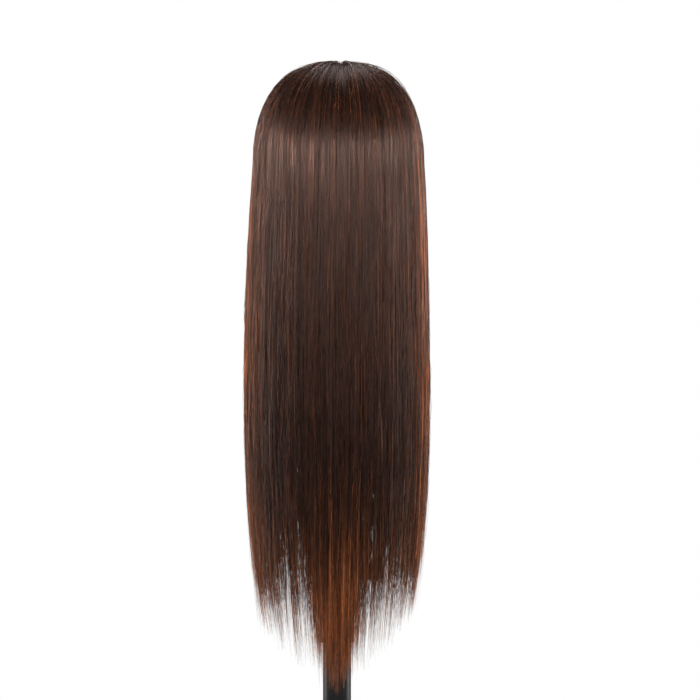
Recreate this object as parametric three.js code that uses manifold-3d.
// Long-haired salon training head on a telescopic holder with a table clamp.
// Millimetres, +Z up, the face looks towards -Y and the hair hangs over the back, towards +Y.
// The origin is on the column's axis, at the underside of the upper jaw's pad, where the table top is.

import * as THREE from 'three';
import { mergeVertices } from 'three/addons/utils/BufferGeometryUtils.js';
import Module from 'manifold-3d';

const wasm = await Module();
wasm.setup();

// ---------------------------------------------------------------- driving dimensions

const GAP = 0.3; // clearance between pieces that touch
const FINE = 24; // sides of a turned part
const COARSE = 12; // sides of a small turned part
const ROUND = 36; // sides of the pole and the sleeve

// table clamp
const FRAME_WIDTH = 36;
const JAW_PAD = { x: 42, y: 56, z: 3 };
const JAW_TOP = 14;
const JAW_TIP_Y = -30;
const SPINE = { inner: 38, outer: 60 };
const LOWER_ARM = { top: -98, bottom: -118 };
const SOCKET = { radius: 23, top: 54, floor: 16 };
const SCREW_BOSS = { radius: 15, bottom: -126 };
const TABLE_THICKNESS = 40; // the board that the clamp stands open for
const SCREW_RADIUS = 6;
const SCREW_END = -196;
const BAR_Z = -184;
const BAR_RADIUS = 4;
const BAR_LENGTH = 92;

// column
const POLE = { radius: 14, wall: 1.5, top: 290 };
const SLEEVE = { radius: 17.5, wall: 1.75, bottom: 128, top: 345 };
const SLEEVE_BORE = SLEEVE.radius - SLEEVE.wall;
const LEVER_BOSS = { reach: 26, width: 16, foot: 181, bottom: 187, top: 198 };
const LEVER_Z = (LEVER_BOSS.bottom + LEVER_BOSS.top) / 2;
const LEVER_BOLT = 3; // radius
const SWIVEL_SCREW_Z = 334;
const SWIVEL = { stem: 12, bottom: 327, flange: 4 };

// tilt joint
const PIVOT_Z = 372;
const PIVOT_RADIUS = 4;
const TONGUE = { half: 6, reach: 12.5, drop: 9.8 };
const FRICTION_WASHER = { radius: 12, thick: 2 };
const CHEEK = { radius: 14, thick: 7 };
const CHEEK_INNER = TONGUE.half + FRICTION_WASHER.thick + 2 * GAP;
const CHEEK_OUTER = CHEEK_INNER + CHEEK.thick;
const YOKE_BASE = { bottom: SLEEVE.top + SWIVEL.flange + GAP, top: 357 };
const TONGUE_DISC = { radius: 25, bottom: 388, top: 392 };
const PLUG_FLANGE = { radius: 31, bottom: TONGUE_DISC.top + GAP, top: 397 };
const PLUG = { low: 15, high: 12.5, top: 490 };
const TILT_KNOB = { radius: 19, lobes: 5, depth: 20 };

// head
const NECK_BASE = PLUG_FLANGE.top + GAP;
const SKIN = 3;
const SOCKET_TUBE = { bore: 15.6, wall: 2, top: 498 };
const CROWN_Z = 692;
const HAIR_DEPTH = 10; // how far the hair stands off the scalp
const HAIRLINE = { frontY: -80, frontZ: 657, backY: 76, backZ: 508 };
const HAIR = { width: 184, depth: 194, widestZ: 380, shoulderZ: 601, domeHeight: 101, squareness: 2.3 };
const HAIR_TAPER = { above: 6, below: 12 }; // how much narrower the hair is at the shoulder and at the tips
const CURTAIN = { frontAngle: 126, splitAngle: 62, bottom: 150, sideBottom: 170, top: 640 };
const CENTRE_Y = 5; // the middle of the head and of the hanging hair, behind the column's axis

// ---------------------------------------------------------------- materials

function material(color, roughness, metalness) {
  return new THREE.MeshStandardMaterial({ color, roughness, metalness });
}

const CAST = material(0x26272a, 0.55, 0.6);
const BLACK_STEEL = material(0x232425, 0.35, 0.7);
const BRIGHT_STEEL = material(0xb8babd, 0.3, 1.0);
const BRASS = material(0xb08d4a, 0.35, 1.0);
const NYLON = material(0x1a1a1b, 0.6, 0.0);
const WHITE_NYLON = material(0xd9d7cf, 0.6, 0.0);
const RUBBER = material(0x161616, 0.85, 0.0);
const VINYL = material(0xdcae90, 0.5, 0.0);
const FOAM = material(0xd8c48e, 0.95, 0.0);
const HAIR_LOOK = material(0x3a241b, 0.45, 0.0);
const LASH = material(0x14100e, 0.6, 0.0);

// ---------------------------------------------------------------- solids

function toSolid(geometry) {
  const bare = geometry.index ? geometry.toNonIndexed() : geometry.clone();
  bare.deleteAttribute('normal');
  bare.deleteAttribute('uv');
  const merged = mergeVertices(bare, 1e-4);
  const mesh = new wasm.Mesh({
    numProp: 3,
    vertProperties: new Float32Array(merged.attributes.position.array),
    triVerts: new Uint32Array(merged.index.array),
  });
  return new wasm.Manifold(mesh);
}

function toGeometry(solid) {
  const mesh = solid.getMesh();
  const geometry = new THREE.BufferGeometry();
  const points = new Float32Array(mesh.vertProperties);
  geometry.setAttribute('position', new THREE.BufferAttribute(points, 3));
  geometry.setIndex(new THREE.BufferAttribute(new Uint32Array(mesh.triVerts), 1));
  geometry.computeVertexNormals();
  return geometry;
}

function join(first, ...others) {
  return others.reduce((sum, geometry) => sum.add(toSolid(geometry)), toSolid(first));
}

function cut(solid, ...tools) {
  return tools.reduce((left, geometry) => left.subtract(toSolid(geometry)), solid);
}

// A turned part about Z: the profile is a list of [radius, z] from the bottom of the axis to its top.
function turned(profile, sides = FINE) {
  const points = profile.map(([radius, z]) => new THREE.Vector2(radius, z));
  return new THREE.LatheGeometry(points, sides).rotateX(Math.PI / 2);
}

// A turned ring about Z: the profile closes on itself, and runs anticlockwise in (radius, z).
function ring(inner, outer, bottom, top, sides = FINE) {
  return turned([[inner, bottom], [outer, bottom], [outer, top], [inner, top], [inner, bottom]], sides);
}

function rod(radius, bottom, top, sides = COARSE) {
  return turned([[0, bottom], [radius, bottom], [radius, top], [0, top]], sides);
}

// A rod with a small bevel round both ends.
function bevelledRod(radius, bottom, top, bevel, sides = COARSE) {
  const profile = [
    [0, bottom],
    [radius - bevel, bottom],
    [radius, bottom + bevel],
    [radius, top - bevel],
    [radius - bevel, top],
    [0, top],
  ];
  return turned(profile, sides);
}

// Lays a part that was made along Z along +X instead.
function alongX(geometry) {
  return geometry.rotateY(Math.PI / 2);
}

function alongY(geometry) {
  return geometry.rotateX(-Math.PI / 2);
}

function roundedRectangle(width, height, radius) {
  const [x, y] = [width / 2, height / 2];
  const shape = new THREE.Shape();
  shape.moveTo(-x + radius, -y);
  shape.lineTo(x - radius, -y);
  shape.absarc(x - radius, -y + radius, radius, -Math.PI / 2, 0);
  shape.lineTo(x, y - radius);
  shape.absarc(x - radius, y - radius, radius, 0, Math.PI / 2);
  shape.lineTo(-x + radius, y);
  shape.absarc(-x + radius, y - radius, radius, Math.PI / 2, Math.PI);
  shape.lineTo(-x, -y + radius);
  shape.absarc(-x + radius, -y + radius, radius, Math.PI, 1.5 * Math.PI);
  return shape;
}

function plate(shape, depth, curveSegments = 6) {
  return new THREE.ExtrudeGeometry(shape, { depth, bevelEnabled: false, curveSegments });
}

// A plate whose outline is drawn in (y, z) and which is centred on the plane x = 0.
function sidePlate(shape, width, curveSegments = 6) {
  const geometry = plate(shape, width, curveSegments).translate(0, 0, -width / 2);
  return geometry.applyMatrix4(
    new THREE.Matrix4().makeBasis(
      new THREE.Vector3(0, 1, 0),
      new THREE.Vector3(0, 0, 1),
      new THREE.Vector3(1, 0, 0),
    ),
  );
}

const group = new THREE.Group();
group.name = 'training_head_on_clamp_holder';

function place(name, shape, look) {
  const geometry = shape.isBufferGeometry ? shape : toGeometry(shape);
  const mesh = new THREE.Mesh(geometry, look);
  mesh.name = name;
  group.add(mesh);
  return mesh;
}

// ---------------------------------------------------------------- table clamp

// The clamp's side outline in (y, z): a C that opens towards -Y.
function clampOutline() {
  const [corner, throat, toe] = [16, 10, 12];
  const [front, back, spine] = [JAW_TIP_Y, SPINE.outer, SPINE.inner];
  const [top, bottom] = [JAW_TOP, LOWER_ARM.bottom];
  const [jaw, arm] = [JAW_PAD.z + GAP, LOWER_ARM.top];
  const shape = new THREE.Shape();
  shape.moveTo(front, jaw);
  shape.lineTo(spine - throat, jaw);
  shape.absarc(spine - throat, jaw - throat, throat, Math.PI / 2, 0, true);
  shape.lineTo(spine, arm + throat);
  shape.absarc(spine - throat, arm + throat, throat, 0, -Math.PI / 2, true);
  shape.lineTo(front + toe, arm);
  shape.lineTo(front + toe, bottom);
  shape.lineTo(back - corner, bottom);
  shape.absarc(back - corner, bottom + corner, corner, -Math.PI / 2, 0);
  shape.lineTo(back, top - corner);
  shape.absarc(back - corner, top - corner, corner, 0, Math.PI / 2);
  shape.lineTo(front, top);
  return shape;
}

// The hollow in one flank of the casting, which leaves a web with a rib all round it.
function flankPocket(side) {
  const [rib, web, corner] = [5, 5, 5];
  const [left, right] = [SPINE.inner + rib, SPINE.outer - rib];
  const [bottom, top] = [LOWER_ARM.top + rib - 1, JAW_PAD.z - rib - 1];
  const outline = roundedRectangle(right - left, top - bottom, corner);
  const pocket = sidePlate(outline, FRAME_WIDTH);
  return pocket.translate(side * (FRAME_WIDTH / 2 + web), (left + right) / 2, (bottom + top) / 2);
}

const SET_SCREW = { z: 36, radius: 3, lug: 27 }; // in the back of the socket

function clampFrame() {
  const body = sidePlate(clampOutline(), FRAME_WIDTH);
  const socket = turned([
    [0, JAW_TOP - 3],
    [SOCKET.radius + 5, JAW_TOP - 3],
    [SOCKET.radius + 5, JAW_TOP + 1],
    [SOCKET.radius + 1.5, JAW_TOP + 4],
    [SOCKET.radius, JAW_TOP + 9],
    [SOCKET.radius, SOCKET.top - 2],
    [SOCKET.radius - 2, SOCKET.top],
    [0, SOCKET.top],
  ]);
  const screwBoss = bevelledRod(SCREW_BOSS.radius, SCREW_BOSS.bottom, LOWER_ARM.top + 3, 2, FINE);
  const screwLug = alongY(bevelledRod(8, 0, SET_SCREW.lug, 1)).translate(0, 0, SET_SCREW.z);
  const poleBore = rod(POLE.radius + GAP, SOCKET.floor, SOCKET.top + 10, FINE);
  const screwBore = rod(SCREW_RADIUS + GAP, SCREW_BOSS.bottom - 10, LOWER_ARM.top + 10, FINE);
  const setBore = alongY(rod(SET_SCREW.radius + GAP, 0, 40)).translate(0, 0, SET_SCREW.z);
  const pockets = [flankPocket(-1), flankPocket(1)];
  return cut(join(body, socket, screwBoss, screwLug), poleBore, screwBore, setBore, ...pockets);
}

function jawPad() {
  const shape = roundedRectangle(JAW_PAD.x, JAW_PAD.y, 5);
  return plate(shape, JAW_PAD.z).translate(0, JAW_TIP_Y + JAW_PAD.y / 2 + 1, 0);
}

// A socket-head set screw in the lug behind the socket, which holds the pole.
function poleScrew() {
  const start = POLE.radius + GAP;
  const head = SET_SCREW.lug + GAP;
  const body = turned([
    [0, start],
    [SET_SCREW.radius - 0.8, start],
    [SET_SCREW.radius, start + 1],
    [SET_SCREW.radius, head],
    [5, head],
    [5, head + 4.5],
    [4.4, head + 5],
    [0, head + 5],
  ]);
  const hex = turned([[0, head + 2], [2, head + 2], [2, head + 9], [0, head + 9]], 6);
  return alongY(toGeometry(cut(toSolid(body), hex))).translate(0, 0, SET_SCREW.z);
}

// ---------------------------------------------------------------- clamp screw and its foot

const FOOT_TOP = -TABLE_THICKNESS;

function footRubber() {
  return bevelledRod(16, FOOT_TOP - 3, FOOT_TOP, 0.8, FINE);
}

function pressureFoot() {
  const top = FOOT_TOP - 3 - GAP;
  return turned([
    [0, top - 4],
    [7.3, top - 4],
    [7.3, top - 14],
    [10.5, top - 14],
    [10.5, top - 7],
    [17, top - 4.5],
    [18, top - 3],
    [18, top + 1.5],
    [16 + GAP, top + 1.5],
    [16 + GAP, top],
    [0, top],
  ]);
}

// The snap ring that keeps the screw's ball end in the foot.
function footClip() {
  const top = FOOT_TOP - 15.7;
  return ring(4.6 + GAP, 7, top - 1.4, top, COARSE);
}

function clampScrew() {
  const ballTop = FOOT_TOP - 3 - GAP - 4 - GAP;
  const neck = ballTop - 7.6;
  const body = turned([
    [0, SCREW_END],
    [9, SCREW_END],
    [10.5, SCREW_END + 1.5],
    [10.5, SCREW_END + 22],
    [9, SCREW_END + 24],
    [SCREW_RADIUS, SCREW_END + 26],
    [SCREW_RADIUS, neck - 4],
    [4.6, neck - 3],
    [4.6, neck],
    [6.6, neck + 1.6],
    [6.9, neck + 4.2],
    [5, ballTop - 0.8],
    [0, ballTop],
  ]);
  const eye = alongX(rod(BAR_RADIUS + GAP, -15, 15)).translate(0, 0, BAR_Z);
  return cut(toSolid(body), eye);
}

function tommyBar() {
  return alongX(rod(BAR_RADIUS, -BAR_LENGTH / 2, BAR_LENGTH / 2)).translate(0, 0, BAR_Z);
}

function barEnd(side) {
  const start = BAR_LENGTH / 2 - 5;
  const profile = [
    [BAR_RADIUS + GAP, start],
    [6, start],
    [7, start + 1.5],
    [7, start + 6],
    [5, start + 8.6],
    [0, start + 9.4],
    [0, BAR_LENGTH / 2 + GAP],
    [BAR_RADIUS + GAP, BAR_LENGTH / 2 + GAP],
    [BAR_RADIUS + GAP, start],
  ];
  const cap = alongX(turned(profile, COARSE));
  return cap.rotateZ(side < 0 ? Math.PI : 0).translate(0, 0, BAR_Z);
}

// ---------------------------------------------------------------- pole and sleeve

function poleTube() {
  return ring(POLE.radius - POLE.wall, POLE.radius, SOCKET.floor + GAP, POLE.top, ROUND);
}

// The plug in the pole's upper end, whose collar runs inside the sleeve.
function poleBush() {
  const [bore, rim] = [POLE.radius - POLE.wall - GAP, POLE.top + GAP];
  return turned([
    [0, rim - 18],
    [bore - 1, rim - 18],
    [bore, rim - 16],
    [bore, rim],
    [SLEEVE_BORE - GAP, rim],
    [SLEEVE_BORE - GAP, rim + 5],
    [SLEEVE_BORE - 1.5, rim + 6],
    [0, rim + 6],
  ]);
}

// The gusset on the sleeve that the clamping lever's bolt goes through.
function leverBoss() {
  const { reach, width, foot, bottom, top } = LEVER_BOSS;
  const outline = new THREE.Shape();
  outline.moveTo(-POLE.radius, foot);
  outline.lineTo(-POLE.radius, top);
  outline.lineTo(-reach, top);
  outline.lineTo(-reach, bottom);
  return plate(outline, width).translate(0, 0, -width / 2).rotateX(Math.PI / 2);
}

const SWIVEL_BOLT = 3; // radius

function sleeveTube() {
  const tube = ring(SLEEVE_BORE, SLEEVE.radius, SLEEVE.bottom, SLEEVE.top, ROUND);
  const topBoss = alongX(bevelledRod(7, POLE.radius, 24.5, 1)).translate(0, 0, SWIVEL_SCREW_Z);
  const bosses = cut(join(leverBoss(), topBoss), rod(SLEEVE_BORE + 0.5, 100, 400, ROUND));
  const leverBore = alongX(rod(LEVER_BOLT + GAP, -40, 0)).translate(0, 0, LEVER_Z);
  const topBore = alongX(rod(SWIVEL_BOLT + GAP, 0, 40)).translate(0, 0, SWIVEL_SCREW_Z);
  return cut(toSolid(tube).add(bosses), leverBore, topBore);
}

// The guide in the sleeve's lower end, which runs on the pole and shows as a ring below the sleeve.
function sleeveBush() {
  const [bore, end] = [POLE.radius + GAP, SLEEVE.bottom - GAP];
  return turned([
    [bore, end - 5],
    [SLEEVE.radius - 1, end - 5],
    [SLEEVE.radius + 0.4, end - 3.8],
    [SLEEVE.radius + 0.4, end],
    [SLEEVE_BORE - GAP, end],
    [SLEEVE_BORE - GAP, end + 30],
    [bore, end + 30],
    [bore, end - 5],
  ]);
}

// The bearing in the sleeve's upper end, in which the yoke's stem turns.
function swivelBush() {
  const bore = SWIVEL.stem + GAP;
  const rim = SLEEVE.top + GAP;
  const body = turned([
    [bore, SWIVEL.bottom],
    [SLEEVE_BORE - GAP, SWIVEL.bottom],
    [SLEEVE_BORE - GAP, rim],
    [SLEEVE.radius, rim],
    [SLEEVE.radius, rim + SWIVEL.flange - 2 * GAP],
    [bore, rim + SWIVEL.flange - 2 * GAP],
    [bore, SWIVEL.bottom],
  ]);
  const screwBore = alongX(rod(SWIVEL_BOLT + GAP, 0, 40)).translate(0, 0, SWIVEL_SCREW_Z);
  return cut(toSolid(body), screwBore);
}

const STUD = { start: 20, end: 46 }; // measured outwards from the column's axis

// The brass slug between the lever's stud and the pole, so that the steel doesn't mark it.
function leverSlug() {
  const slug = alongX(rod(LEVER_BOLT - 0.3, -STUD.start, 1 - POLE.radius)).translate(0, 0, LEVER_Z);
  return cut(toSolid(slug), rod(POLE.radius + GAP, 100, 300, FINE));
}

function leverStud() {
  const stud = bevelledRod(LEVER_BOLT - 0.1, -STUD.end, -STUD.start - GAP, 0.6);
  return alongX(stud).translate(0, 0, LEVER_Z);
}

// The clamping lever: a hub on the stud and an arm that rises outwards from it. It is drawn towards +X
// and then turned round.
function leverHandle() {
  const start = LEVER_BOSS.reach + GAP;
  const hub = turned([
    [0, start],
    [6, start],
    [7.6, start + 2.2],
    [8, start + 10],
    [7, start + 18],
    [5.5, start + 21],
    [0, start + 21.5],
  ]);
  const path = new THREE.CatmullRomCurve3([
    new THREE.Vector3(36, 0, 4),
    new THREE.Vector3(42, 0, 20),
    new THREE.Vector3(48, 0, 36),
    new THREE.Vector3(51, 0, 52),
  ]);
  const section = new THREE.Shape();
  section.absellipse(0, 0, 5.2, 4.2, 0, 2 * Math.PI);
  const arm = new THREE.ExtrudeGeometry(section, { steps: 12, curveSegments: 8, extrudePath: path });
  const tip = new THREE.SphereGeometry(6.4, 16, 10).translate(51, 0, 54);
  const solid = join(alongX(hub), arm, tip);
  const bore = alongX(rod(LEVER_BOLT - 0.1 + GAP, 20, STUD.end + GAP));
  return toGeometry(cut(solid, bore)).rotateZ(Math.PI);
}

// ---------------------------------------------------------------- swivel yoke

function swivelScrew() {
  const shank = turned([
    [0, SWIVEL.stem + GAP],
    [SWIVEL_BOLT - 1, SWIVEL.stem + GAP],
    [SWIVEL_BOLT - 0.1, SWIVEL.stem + 1.5],
    [SWIVEL_BOLT - 0.1, 26],
    [6, 26],
    [7, 27.2],
    [7, 30],
    [5, 31.5],
    [0, 31.5],
  ], COARSE);
  const wingPlate = new THREE.ExtrudeGeometry(wingOutline(), {
    depth: 3.4,
    bevelEnabled: false,
    curveSegments: 8,
  });
  wingPlate.translate(0, 0, -1.7).rotateX(Math.PI / 2);
  return toGeometry(join(alongX(shank), wingPlate)).translate(0, 0, SWIVEL_SCREW_Z);
}

// The thumb blade of the swivel's locking screw, drawn in (x, z).
function wingOutline() {
  const shape = new THREE.Shape();
  shape.moveTo(29, -6);
  shape.lineTo(36, -9.5);
  shape.absarc(36.5, -5, 4.5, -Math.PI / 2, 0);
  shape.lineTo(41, 5);
  shape.absarc(36.5, 5, 4.5, 0, Math.PI / 2);
  shape.lineTo(29, 6);
  return shape;
}

function cheekOutline() {
  const shape = new THREE.Shape();
  shape.moveTo(-CHEEK.radius, YOKE_BASE.top - 3);
  shape.lineTo(CHEEK.radius, YOKE_BASE.top - 3);
  shape.lineTo(CHEEK.radius, PIVOT_Z);
  shape.absarc(0, PIVOT_Z, CHEEK.radius, 0, Math.PI);
  return shape;
}

function yoke() {
  const base = turned([
    [0, SWIVEL.bottom],
    [SWIVEL.stem - 1, SWIVEL.bottom],
    [SWIVEL.stem, SWIVEL.bottom + 1],
    [SWIVEL.stem, YOKE_BASE.bottom],
    [SLEEVE.radius, YOKE_BASE.bottom],
    [SLEEVE.radius, YOKE_BASE.top - 1],
    [SLEEVE.radius - 1, YOKE_BASE.top],
    [0, YOKE_BASE.top],
  ]);
  const middle = (CHEEK_INNER + CHEEK_OUTER) / 2;
  const cheeks = [-1, 1].map((side) =>
    sidePlate(cheekOutline(), CHEEK.thick, 12).translate(side * middle, 0, 0),
  );
  const bore = alongX(rod(PIVOT_RADIUS + GAP, -40, 40)).translate(0, 0, PIVOT_Z);
  const groove = ring(SWIVEL.stem - 1.6, SWIVEL.stem + 5, SWIVEL_SCREW_Z - 4, SWIVEL_SCREW_Z + 4);
  return cut(join(base, ...cheeks), bore, groove);
}

function frictionWasher(side) {
  const inner = TONGUE.half + GAP;
  const washer = ring(PIVOT_RADIUS + GAP, FRICTION_WASHER.radius, inner, inner + FRICTION_WASHER.thick);
  return alongX(washer).rotateZ(side < 0 ? Math.PI : 0).translate(0, 0, PIVOT_Z);
}

const KNOB_START = CHEEK_OUTER + 2 * GAP + 1.6;

function knobWasher() {
  const washer = ring(PIVOT_RADIUS + GAP, 9, CHEEK_OUTER + GAP, CHEEK_OUTER + GAP + 1.6, FINE);
  return alongX(washer).translate(0, 0, PIVOT_Z);
}

// A round-headed bolt: its head lies against the cheek on the -X side, and the knob is on its other end.
function pivotBolt() {
  const head = -CHEEK_OUTER - GAP;
  const bolt = turned([
    [0, head - 5],
    [3.5, head - 4.7],
    [6.5, head - 3],
    [8.5, head],
    [PIVOT_RADIUS - 0.05, head],
    [PIVOT_RADIUS - 0.05, KNOB_START + 15],
    [PIVOT_RADIUS - 0.8, KNOB_START + 16],
    [0, KNOB_START + 16],
  ]);
  return alongX(bolt).translate(0, 0, PIVOT_Z);
}

// A five-lobed outline round the pivot's axis.
function knobOutline() {
  const { radius, lobes } = TILT_KNOB;
  const shape = new THREE.Shape();
  const steps = lobes * 8;
  for (let i = 0; i <= steps; i += 1) {
    const angle = (i / steps) * 2 * Math.PI;
    const reach = radius - 2.6 * (1 - Math.cos(lobes * angle));
    const [x, y] = [reach * Math.cos(angle), reach * Math.sin(angle)];
    if (i === 0) shape.moveTo(x, y);
    else if (i < steps) shape.lineTo(x, y);
  }
  return shape;
}

const INSERT = { radius: 6.5, length: 17 };

function tiltKnob() {
  const bevel = 1.5;
  const rim = new THREE.ExtrudeGeometry(knobOutline(), {
    depth: TILT_KNOB.depth / 2,
    bevelThickness: bevel,
    bevelSize: bevel,
    bevelOffset: -bevel,
    bevelSegments: 2,
  }).translate(0, 0, KNOB_START + TILT_KNOB.depth / 2);
  const hub = turned([
    [0, KNOB_START],
    [9, KNOB_START],
    [10.5, KNOB_START + 8],
    [10.5, KNOB_START + 19],
    [9, KNOB_START + TILT_KNOB.depth + 2],
    [0, KNOB_START + TILT_KNOB.depth + 2],
  ]);
  const bore = rod(INSERT.radius + GAP, KNOB_START - 5, KNOB_START + INSERT.length + GAP, FINE);
  return toGeometry(cut(join(rim, hub), bore)).rotateY(Math.PI / 2).translate(0, 0, PIVOT_Z);
}

function knobInsert() {
  const insert = ring(PIVOT_RADIUS + 0.02, INSERT.radius, KNOB_START, KNOB_START + INSERT.length, FINE);
  return alongX(insert).translate(0, 0, PIVOT_Z);
}

// ---------------------------------------------------------------- tongue and neck plug

const PLUG_SCREW = { y: 19.5, radius: 2.5 };

// One of the two bores for the screws that hold the plug on the tongue's disc.
function plugScrewBore(side, radius, top) {
  return rod(radius, PIVOT_Z, top).translate(0, side * PLUG_SCREW.y, 0);
}

function tiltTongue() {
  const outline = new THREE.Shape();
  outline.moveTo(-TONGUE.reach, PIVOT_Z - TONGUE.drop);
  outline.lineTo(TONGUE.reach, PIVOT_Z - TONGUE.drop);
  outline.lineTo(TONGUE.reach, TONGUE_DISC.bottom - 5);
  outline.lineTo(TONGUE.reach + 3, TONGUE_DISC.bottom + 1);
  outline.lineTo(-TONGUE.reach - 3, TONGUE_DISC.bottom + 1);
  outline.lineTo(-TONGUE.reach, TONGUE_DISC.bottom - 5);
  const tongue = sidePlate(outline, 2 * TONGUE.half);
  const disc = bevelledRod(TONGUE_DISC.radius, TONGUE_DISC.bottom, TONGUE_DISC.top, 0.8, FINE);
  const bore = alongX(rod(PIVOT_RADIUS + GAP, -30, 30)).translate(0, 0, PIVOT_Z);
  const screwBores = [-1, 1].map((side) => plugScrewBore(side, PLUG_SCREW.radius + GAP, PLUG.top));
  return cut(join(tongue, disc), bore, ...screwBores);
}

// The tapered post that the head is pushed onto, with grip ribs up its sides.
function neckPlug() {
  const core = turned([
    [0, PLUG_FLANGE.bottom],
    [PLUG_FLANGE.radius - 1, PLUG_FLANGE.bottom],
    [PLUG_FLANGE.radius, PLUG_FLANGE.bottom + 1],
    [PLUG_FLANGE.radius, PLUG_FLANGE.top - 1],
    [PLUG_FLANGE.radius - 1, PLUG_FLANGE.top],
    [PLUG.low - 1.6, PLUG_FLANGE.top],
    [PLUG.high - 1.6, PLUG.top - 3],
    [PLUG.high - 4.5, PLUG.top],
    [0, PLUG.top],
  ]);
  const ribs = [];
  const ribCount = 8;
  for (let i = 0; i < ribCount; i += 1) {
    const rib = new THREE.Shape();
    rib.moveTo(0, PLUG_FLANGE.top - 1);
    rib.lineTo(PLUG.low, PLUG_FLANGE.top - 1);
    rib.lineTo(PLUG.high, PLUG.top - 5);
    rib.lineTo(PLUG.high - 2, PLUG.top - 3);
    rib.lineTo(0, PLUG.top - 3);
    ribs.push(sidePlate(rib, 2.4).rotateZ((i / ribCount) * 2 * Math.PI));
  }
  const screwBores = [-1, 1].map((side) => plugScrewBore(side, PLUG_SCREW.radius, PLUG_FLANGE.top - 1));
  return cut(join(core, ...ribs), ...screwBores);
}

function plugScrew(side) {
  const head = TONGUE_DISC.bottom - GAP;
  const screw = turned([
    [0, head - 3],
    [2.6, head - 3],
    [4.5, head - 1.2],
    [4.5, head],
    [PLUG_SCREW.radius - 0.1, head],
    [PLUG_SCREW.radius - 0.1, PLUG_FLANGE.top - 2.4],
    [0, PLUG_FLANGE.top - 1.4],
  ], COARSE);
  const slot = new THREE.BoxGeometry(1, 10, 2).translate(0, 0, head - 3);
  return toGeometry(cut(toSolid(screw), slot)).translate(0, side * PLUG_SCREW.y, 0);
}

// ---------------------------------------------------------------- head

// Each blob is an ellipsoid: centre and radii. Pairs are mirrored in x by the distance function.
const HEAD_BLOBS = [
  { at: [0, 20, 613], size: [75, 74, 79] }, // back of the skull
  { at: [0, -18, 606], size: [67, 74, 82] }, // forehead
  { at: [0, -26, 556], size: [58, 62, 82] }, // face
  { at: [0, -34, 510], size: [47, 50, 39] }, // jaw
  { at: [0, -73, 488], size: [17, 16, 15] }, // chin
  { at: [36, -54, 550], size: [24, 27, 25] }, // cheekbone
  { at: [0, -92, 516], size: [23, 8, 6] }, // upper lip
  { at: [0, -91, 507], size: [19, 9, 6] }, // lower lip
  { at: [0, -92, 566], size: [7, 12, 22] }, // bridge of the nose
  { at: [0, -104, 544], size: [9, 11, 9] }, // tip of the nose
  { at: [10, -96, 539], size: [6, 10, 6] }, // wing of the nose
  { at: [32, -78, 581], size: [13, 13, 12] }, // eye
  { at: [30, -80, 599], size: [22, 9, 6] }, // brow
  { at: [77, 8, 566], size: [5, 17, 30] }, // ear
];
const NECK = [
  { z: NECK_BASE, y: 2, a: 59, b: 61 },
  { z: 412, y: 3, a: 54, b: 56 },
  { z: 440, y: 6, a: 49, b: 52 },
  { z: 500, y: 14, a: 50, b: 55 },
  { z: 560, y: 18, a: 52, b: 56 },
];
const BLEND = 7; // how softly one blob runs into the next

function ellipsoidDistance(point, blob) {
  const away = point.map((value, axis) => value - blob.at[axis]);
  const scaled = Math.hypot(...away.map((value, axis) => value / blob.size[axis]));
  const slope = Math.hypot(...away.map((value, axis) => value / blob.size[axis] ** 2));
  return slope > 0 ? (scaled * (scaled - 1)) / slope : -Math.min(...blob.size);
}

function softMinimum(a, b) {
  const mix = Math.max(BLEND - Math.abs(a - b), 0) / BLEND;
  return Math.min(a, b) - (mix * mix * BLEND) / 4;
}

function neckDistance(point) {
  const [x, y, z] = point;
  const upper = Math.max(1, NECK.findIndex((row) => row.z >= z));
  const [low, high] = [NECK[upper - 1], NECK[upper]];
  const mix = (z - low.z) / (high.z - low.z);
  const [centre, a, b] = ['y', 'a', 'b'].map((key) => low[key] + mix * (high[key] - low[key]));
  const scaled = Math.hypot(x / a, (y - centre) / b);
  return Math.max((scaled - 1) * Math.min(a, b), z - 550);
}

// The signed distance from the head's skin, negative inside.
function headDistance(x, y, z) {
  const point = [Math.abs(x), y, z];
  const start = z < 560 ? neckDistance(point) : 100;
  return HEAD_BLOBS.reduce((found, blob) => softMinimum(found, ellipsoidDistance(point, blob)), start);
}

// The radius at which a level ray from the middle of the head meets the surface at the given distance.
function sliceRadius(z, angle, offset) {
  const [c, s] = [Math.cos(angle), Math.sin(angle)];
  const inside = (r) => headDistance(r * c, CENTRE_Y + r * s, z) < offset;
  let radius = 140;
  while (radius > 0 && !inside(radius)) radius -= 2;
  if (radius <= 0) return 0.5;
  let [low, high] = [radius, radius + 2];
  for (let i = 0; i < 12; i += 1) {
    const middle = (low + high) / 2;
    if (inside(middle)) low = middle;
    else high = middle;
  }
  return low;
}

function topOfHead(offset) {
  let z = CROWN_Z + 20;
  while (headDistance(0, CENTRE_Y, z) > offset) z -= 0.25;
  return z;
}

// A closed solid from level outlines: rings is a list of lists of [x, y, z], all of one length.
function lofted(rings, bottomPoint, topPoint) {
  const sides = rings[0].length;
  const points = [...rings.flat(), bottomPoint, topPoint];
  const [bottom, top] = [points.length - 2, points.length - 1];
  const faces = [];
  for (let side = 0; side < sides; side += 1) {
    const next = (side + 1) % sides;
    for (let level = 0; level + 1 < rings.length; level += 1) {
      const [a, b] = [level * sides + side, level * sides + next];
      faces.push(a, b, b + sides, a, b + sides, a + sides);
    }
    const last = (rings.length - 1) * sides;
    faces.push(bottom, next, side, top, last + side, last + next);
  }
  const geometry = new THREE.BufferGeometry();
  geometry.setAttribute('position', new THREE.Float32BufferAttribute(points.flat(), 3));
  geometry.setIndex(faces);
  return geometry;
}

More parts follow.
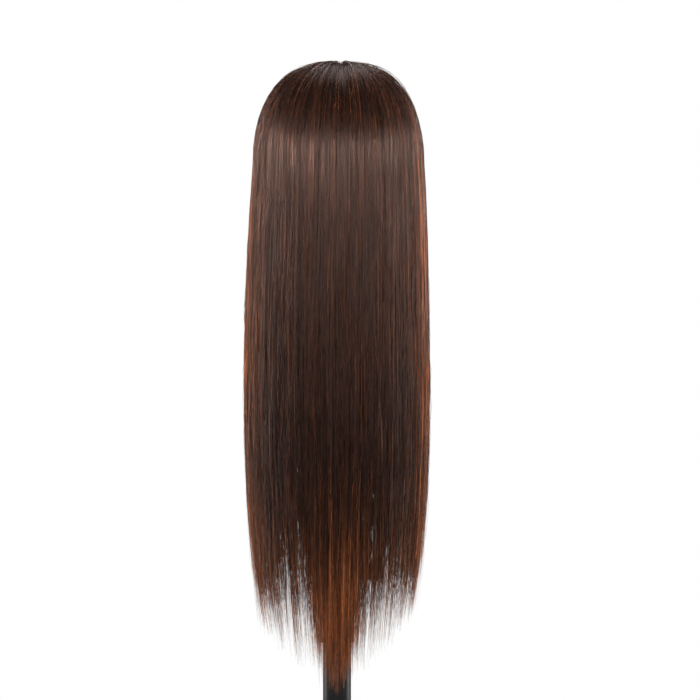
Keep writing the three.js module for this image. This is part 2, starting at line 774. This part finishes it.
// A closed solid from a radius at each level and angle. The angle 0 looks towards the face, where the
// sides of the outline crowd together by the share that crowd gives.
function sliced(radiusAt, { levels, sides, crowd = 0 }, topZ) {
  const rings = levels.map((z) => {
    const outline = [];
    for (let side = 0; side < sides; side += 1) {
      const even = ((side + 0.5) / sides) * 2 * Math.PI;
      const angle = even - crowd * Math.sin(even) - Math.PI / 2;
      const radius = radiusAt(z, angle);
      outline.push([radius * Math.cos(angle), CENTRE_Y + radius * Math.sin(angle), z]);
    }
    return outline;
  });
  return lofted(rings, [0, CENTRE_Y, levels[0]], [0, CENTRE_Y, topZ]);
}

// Levels from one height to another. A bunching of 2 crowds them together towards the upper end.
function heights(from, to, count, bunching = 1) {
  const shares = Array.from({ length: count }, (_, i) => 1 - (1 - i / count) ** bunching);
  return shares.map((share) => from + (to - from) * share);
}

const SCALP_TOP = topOfHead(0);
const SKIN_GRID = {
  levels: [...heights(NECK_BASE, 470, 5), ...heights(470, 612, 16), ...heights(612, SCALP_TOP, 8, 2)],
  sides: 38,
  crowd: 0.45,
};
const HOLLOW_GRID = {
  levels: [...heights(NECK_BASE - 5, 612, 9), ...heights(612, SCALP_TOP - 2 * SKIN, 5, 2)],
  sides: 22,
};

// The head's skin, grown by an allowance. Two of these with different allowances stay clear of each other.
function skinSolid(allowance) {
  return sliced((z, angle) => sliceRadius(z, angle, 0) + allowance, SKIN_GRID, SCALP_TOP + allowance);
}

// The room inside the skin. It follows the narrowest outline nearby, so that the wall is never thin.
function hollowSolid(allowance) {
  const reach = [-18, -9, 0, 9, 18];
  const radiusAt = (z, angle) => {
    const radii = reach.map((step) => sliceRadius(Math.max(NECK_BASE, z + step), angle, 0));
    const narrowest = z > 612 ? sliceRadius(z, angle, -2 * SKIN) : Math.min(...radii) - SKIN;
    return Math.max(0.5, narrowest + allowance);
  };
  return sliced(radiusAt, HOLLOW_GRID, SCALP_TOP - 2 * SKIN + allowance);
}

function headSkin() {
  return cut(toSolid(skinSolid(0)), hollowSolid(0));
}

// The moulded disc that closes the neck, flush with the skin's lower edge.
const BASE_PLATE_TOP = NECK_BASE + 3;

function neckBasePlate() {
  const disc = bevelledRod(43, NECK_BASE, BASE_PLATE_TOP, 0.6, ROUND).translate(0, CENTRE_Y, 0);
  const hole = rod(SOCKET_TUBE.bore + SOCKET_TUBE.wall + GAP, 300, 450, FINE);
  return cut(toSolid(disc), hole);
}

function foamCore() {
  const filling = hollowSolid(-2 * GAP);
  const below = rod(200, 300, BASE_PLATE_TOP + GAP, FINE);
  const radius = SOCKET_TUBE.bore + SOCKET_TUBE.wall + GAP;
  const hole = rod(radius, 300, SOCKET_TUBE.top + SOCKET_TUBE.wall + GAP, FINE);
  return cut(toSolid(filling), below, hole);
}

// The blind tube moulded into the neck, which takes the holder's plug.
function neckSocket() {
  const outer = SOCKET_TUBE.bore + SOCKET_TUBE.wall;
  return turned([
    [SOCKET_TUBE.bore, NECK_BASE],
    [outer, NECK_BASE],
    [outer, SOCKET_TUBE.top + SOCKET_TUBE.wall],
    [0, SOCKET_TUBE.top + SOCKET_TUBE.wall],
    [0, SOCKET_TUBE.top],
    [SOCKET_TUBE.bore, SOCKET_TUBE.top],
    [SOCKET_TUBE.bore, NECK_BASE],
  ]);
}

// A strip of lashes along the upper lid: a crescent that stands out from the face.
function eyelash(side) {
  const crescent = new THREE.Shape();
  crescent.absarc(0, 0, 20, -0.8 * Math.PI, -0.2 * Math.PI);
  crescent.absarc(0, 0, 12, -0.2 * Math.PI, -0.8 * Math.PI, true);
  const strip = plate(crescent, 1.6, 10).rotateX(-0.15).translate(side * 32, -79, 582.5);
  return cut(toSolid(strip), skinSolid(2 * GAP));
}

// ---------------------------------------------------------------- hair

// A block that fills everything above the hairline's plane, shifted along the plane's normal.
function aboveHairline(shift) {
  const { frontY, frontZ, backY, backZ } = HAIRLINE;
  const tilt = Math.atan2(backZ - frontZ, backY - frontY);
  const size = 600;
  const block = new THREE.BoxGeometry(size, size, size).translate(0, 0, size / 2 + shift);
  return block.rotateX(tilt).translate(0, frontY, frontZ);
}

// The share of its full width that the hair keeps over the crown.
function domeShare(z) {
  const share = Math.min(1, Math.max(0, (z - HAIR.shoulderZ) / HAIR.domeHeight));
  return (1 - share ** HAIR.squareness) ** (1 / HAIR.squareness);
}

// The outer surface of the hair: it follows the scalp over the crown, then hangs as a slightly
// bellied tube that draws in towards the tips.
function hairRadius(z, angle) {
  const rise = (z - HAIR.widestZ) / (HAIR.shoulderZ - HAIR.widestZ);
  const taper = rise > 0 ? HAIR_TAPER.above * Math.min(rise, 1) ** 2 : HAIR_TAPER.below * rise ** 2;
  const a = (HAIR.width / 2 - taper) * domeShare(z);
  const b = (HAIR.depth / 2 - taper) * domeShare(z);
  const tube = (a * b) / Math.max(1e-6, Math.hypot(b * Math.cos(angle), a * Math.sin(angle)));
  return Math.max(tube, z > 560 ? sliceRadius(z, angle, HAIR_DEPTH) : 0);
}

const HAIR_TOP = topOfHead(HAIR_DEPTH);
const CAP_GRID = {
  levels: [...heights(480, HAIR.shoulderZ, 6), ...heights(HAIR.shoulderZ, HAIR_TOP, 9, 2)],
  sides: 36,
};

function hairCap() {
  const outside = toSolid(sliced(hairRadius, CAP_GRID, HAIR_TOP));
  return cut(outside, skinSolid(2 * GAP)).intersect(toSolid(aboveHairline(0)));
}

// The outlines of a length of hanging hair between two angles, measured from the back of the head.
function curtainRings(from, to, bottom) {
  const [levels, columns] = [14, Math.max(6, Math.round(Math.abs(to - from) / 9))];
  const rings = [];
  for (let level = 0; level <= levels; level += 1) {
    const z = bottom + ((CURTAIN.top - bottom) * level) / levels;
    const thick = 4 + (4.5 * (z - bottom)) / (CURTAIN.top - bottom);
    const [outside, inside] = [[], []];
    for (let column = 0; column <= columns; column += 1) {
      const angle = THREE.MathUtils.degToRad(90 + from + ((to - from) * column) / columns);
      const radius = hairRadius(z, angle);
      const at = (r) => [r * Math.cos(angle), CENTRE_Y + r * Math.sin(angle), z];
      outside.push(at(radius));
      inside.unshift(at(radius - thick));
    }
    rings.push([...outside, ...inside]);
  }
  return rings;
}

// Triangles for a stack of outlines that are thin bands, closed at both ends by strips across the band.
function banded(rings) {
  const sides = rings[0].length;
  const points = rings.flat();
  const faces = [];
  for (let side = 0; side < sides; side += 1) {
    const next = (side + 1) % sides;
    for (let level = 0; level + 1 < rings.length; level += 1) {
      const [a, b] = [level * sides + side, level * sides + next];
      faces.push(a, b, b + sides, a, b + sides, a + sides);
    }
  }
  const last = (rings.length - 1) * sides;
  for (let side = 0; side + 1 < sides / 2; side += 1) {
    const [a, b, c, d] = [side, side + 1, sides - 2 - side, sides - 1 - side];
    faces.push(a, d, c, a, c, b);
    faces.push(last + a, last + c, last + d, last + a, last + b, last + c);
  }
  const geometry = new THREE.BufferGeometry();
  geometry.setAttribute('position', new THREE.Float32BufferAttribute(points.flat(), 3));
  geometry.setIndex(faces);
  return geometry;
}

function hairPiece(from, to, bottom) {
  const band = toSolid(banded(curtainRings(from, to, bottom)));
  return cut(band, aboveHairline(-GAP), skinSolid(3 * GAP));
}

// ---------------------------------------------------------------- the whole object

place('clamp_frame', clampFrame(), CAST);
place('jaw_pad', jawPad(), RUBBER);
place('pole_screw', poleScrew(), BRIGHT_STEEL);
place('pole_tube', poleTube(), BLACK_STEEL);
place('pole_bush', poleBush(), NYLON);

place('pressure_foot', pressureFoot(), BRIGHT_STEEL);
place('foot_rubber', footRubber(), RUBBER);
place('foot_clip', footClip(), BRIGHT_STEEL);
place('clamp_screw', clampScrew(), BRIGHT_STEEL);
place('tommy_bar', tommyBar(), BRIGHT_STEEL);
place('bar_end_left', barEnd(1), NYLON);
place('bar_end_right', barEnd(-1), NYLON);

place('sleeve_tube', sleeveTube(), BLACK_STEEL);
place('sleeve_bush', sleeveBush(), NYLON);
place('swivel_bush', swivelBush(), WHITE_NYLON);
place('lever_slug', leverSlug(), BRASS);
place('lever_stud', leverStud(), BRIGHT_STEEL);
place('lever_handle', leverHandle(), NYLON).position.set(0, 0, LEVER_Z);
place('swivel_screw', swivelScrew(), BRIGHT_STEEL);

place('yoke', yoke(), CAST);
place('pivot_bolt', pivotBolt(), BRIGHT_STEEL);
place('friction_washer_left', frictionWasher(1), WHITE_NYLON);
place('friction_washer_right', frictionWasher(-1), WHITE_NYLON);
place('knob_washer', knobWasher(), BRIGHT_STEEL);
place('tilt_knob', tiltKnob(), NYLON);
place('knob_insert', knobInsert(), BRASS);

place('tilt_tongue', tiltTongue(), CAST);
place('neck_plug', neckPlug(), NYLON);
place('plug_screw_front', plugScrew(-1), BRIGHT_STEEL);
place('plug_screw_back', plugScrew(1), BRIGHT_STEEL);

place('neck_socket', neckSocket(), WHITE_NYLON);
place('neck_base_plate', neckBasePlate(), NYLON);
place('foam_core', foamCore(), FOAM);
place('head_skin', headSkin(), VINYL);
place('eyelash_left', eyelash(1), LASH);
place('eyelash_right', eyelash(-1), LASH);

place('hair_cap', hairCap(), HAIR_LOOK);
const { frontAngle, splitAngle, bottom, sideBottom } = CURTAIN;
const parting = 0.4; // degrees between two curtains
place('hair_back', hairPiece(-splitAngle, splitAngle, bottom), HAIR_LOOK);
place('hair_left', hairPiece(-frontAngle, -splitAngle - parting, sideBottom), HAIR_LOOK);
place('hair_right', hairPiece(splitAngle + parting, frontAngle, sideBottom), HAIR_LOOK);

export default group;
